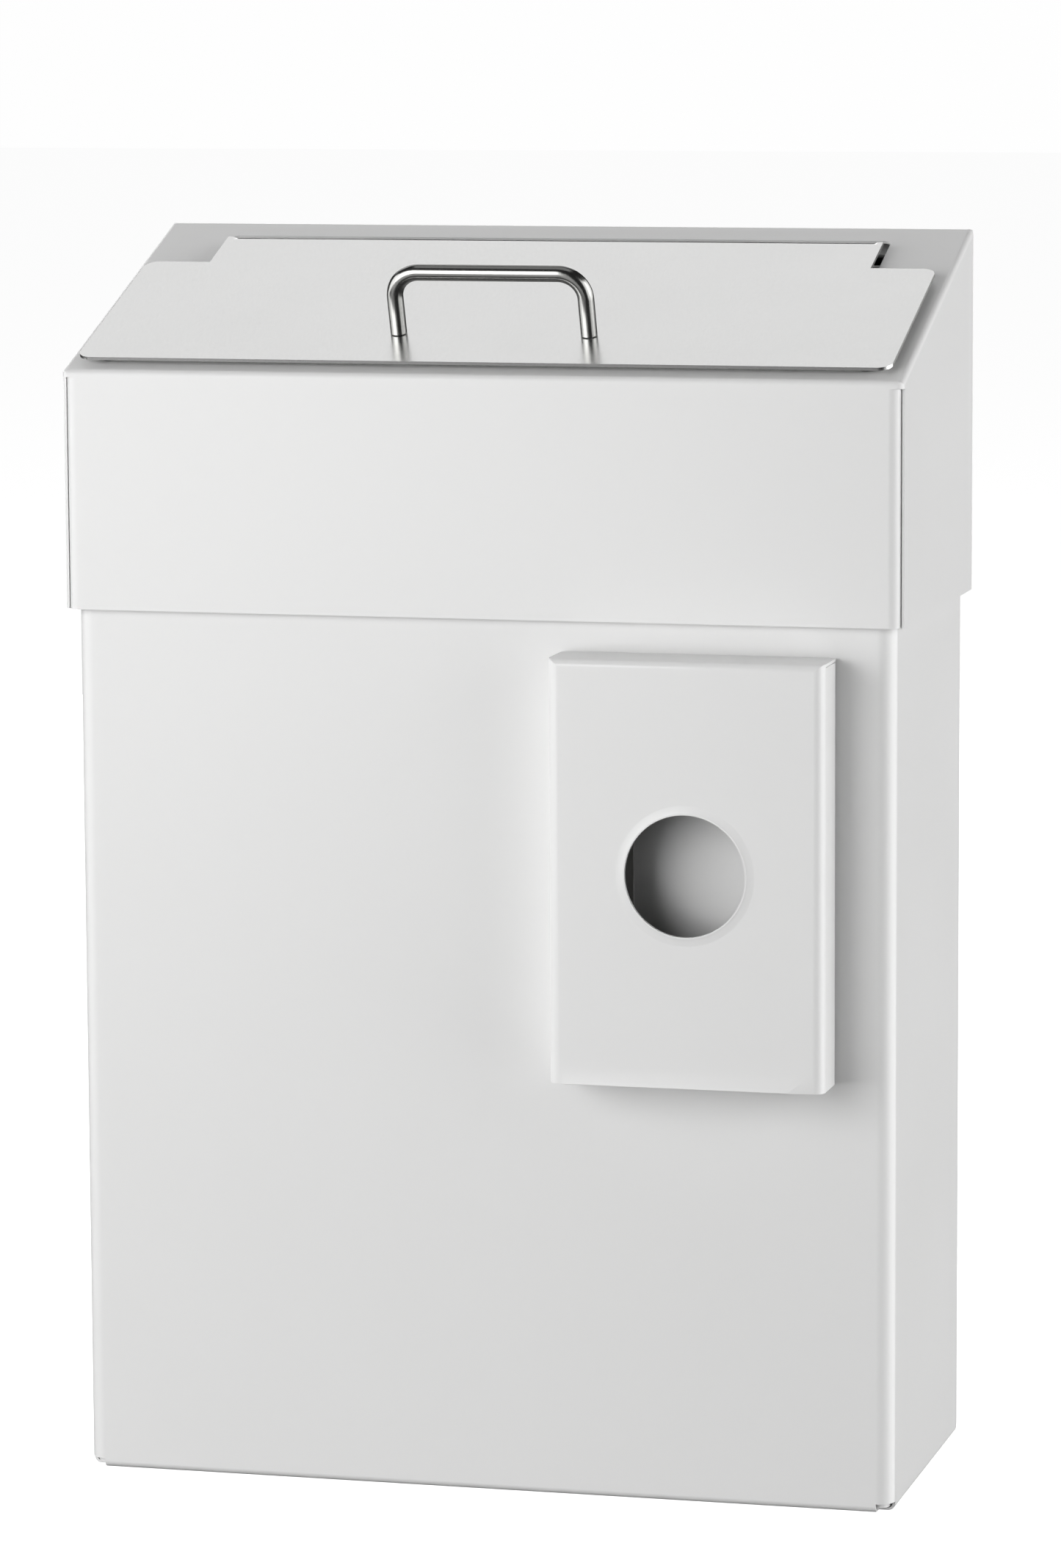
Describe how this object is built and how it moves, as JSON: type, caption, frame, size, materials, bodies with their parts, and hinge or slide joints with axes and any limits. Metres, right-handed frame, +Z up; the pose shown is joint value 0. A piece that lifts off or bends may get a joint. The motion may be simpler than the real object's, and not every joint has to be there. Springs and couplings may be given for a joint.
{
  "type": "wall-mounted waste bin with bag dispenser",
  "caption": "Wall-mounted folded-steel waste bin with a lift-off sloping hood, a hinged stainless lid with a bow handle, and a bag dispenser on the front.",
  "frame": {"origin": "bottom of the bin, at the middle of its overall width and of its overall depth", "axes": "+X to the right seen from the front, +Y from the front towards the wall, +Z up"},
  "size_m": [0.307, 0.1546, 0.449],
  "materials": {
    "white_paint": "white powder coat, satin, fine orange peel",
    "stainless": "stainless steel sheet and rod, fine satin grain",
    "zinc": "bright zinc plated steel",
    "rubber": "black moulded rubber, matt"
  },
  "bodies": {
    "root": {"body_shell": "white_paint", "bottom_plate": "white_paint", "back_panel": "white_paint", "hanger_rail_upper": "zinc", "hanger_rail_lower": "zinc", "shell_rivet_left_1": "zinc", "shell_rivet_left_2": "zinc", "shell_rivet_left_3": "zinc", "shell_rivet_right_1": "zinc", "shell_rivet_right_2": "zinc", "shell_rivet_right_3": "zinc", "bag_ring_bracket_left": "zinc", "bag_ring_bracket_right": "zinc", "bag_ring": "stainless", "dispenser_stud_1": "zinc", "dispenser_stud_2": "zinc", "dispenser_stud_3": "zinc", "dispenser_stud_4": "zinc", "stud_nut_1": "zinc", "stud_nut_2": "zinc", "stud_nut_3": "zinc", "stud_nut_4": "zinc"},
    "hood": {"hood_shell": "white_paint", "hood_rest_left": "white_paint", "hood_rest_right": "white_paint", "hinge_rod": "zinc", "hinge_bracket_left": "zinc", "hinge_bracket_right": "zinc", "rod_clip_left": "zinc", "rod_clip_right": "zinc", "lid_bumper_1": "rubber", "lid_bumper_2": "rubber", "lid_bumper_3": "rubber", "lid_bumper_4": "rubber"},
    "lid": {"lid_flap": "stainless", "lid_handle": "stainless", "handle_washer_left": "zinc", "handle_washer_right": "zinc", "handle_screw_left": "zinc", "handle_screw_right": "zinc"},
    "dispenser_cover": {"dispenser_cover": "white_paint"}
  },
  "joints": [
    {"name": "hood_lift", "type": "slide", "parent": "root", "child": "hood", "axis": [0, 0, 1], "range_m": [0, 0.08]},
    {"name": "lid_hinge", "type": "hinge", "parent": "hood", "child": "lid", "pos_m": [0, 0.05752, 0.43846], "axis": [-1, 0, 0], "range_deg": [0, 70]},
    {"name": "dispenser_lift", "type": "slide", "parent": "root", "child": "dispenser_cover", "axis": [0, 0, 1], "range_m": [0, 0.008]}
  ]
}
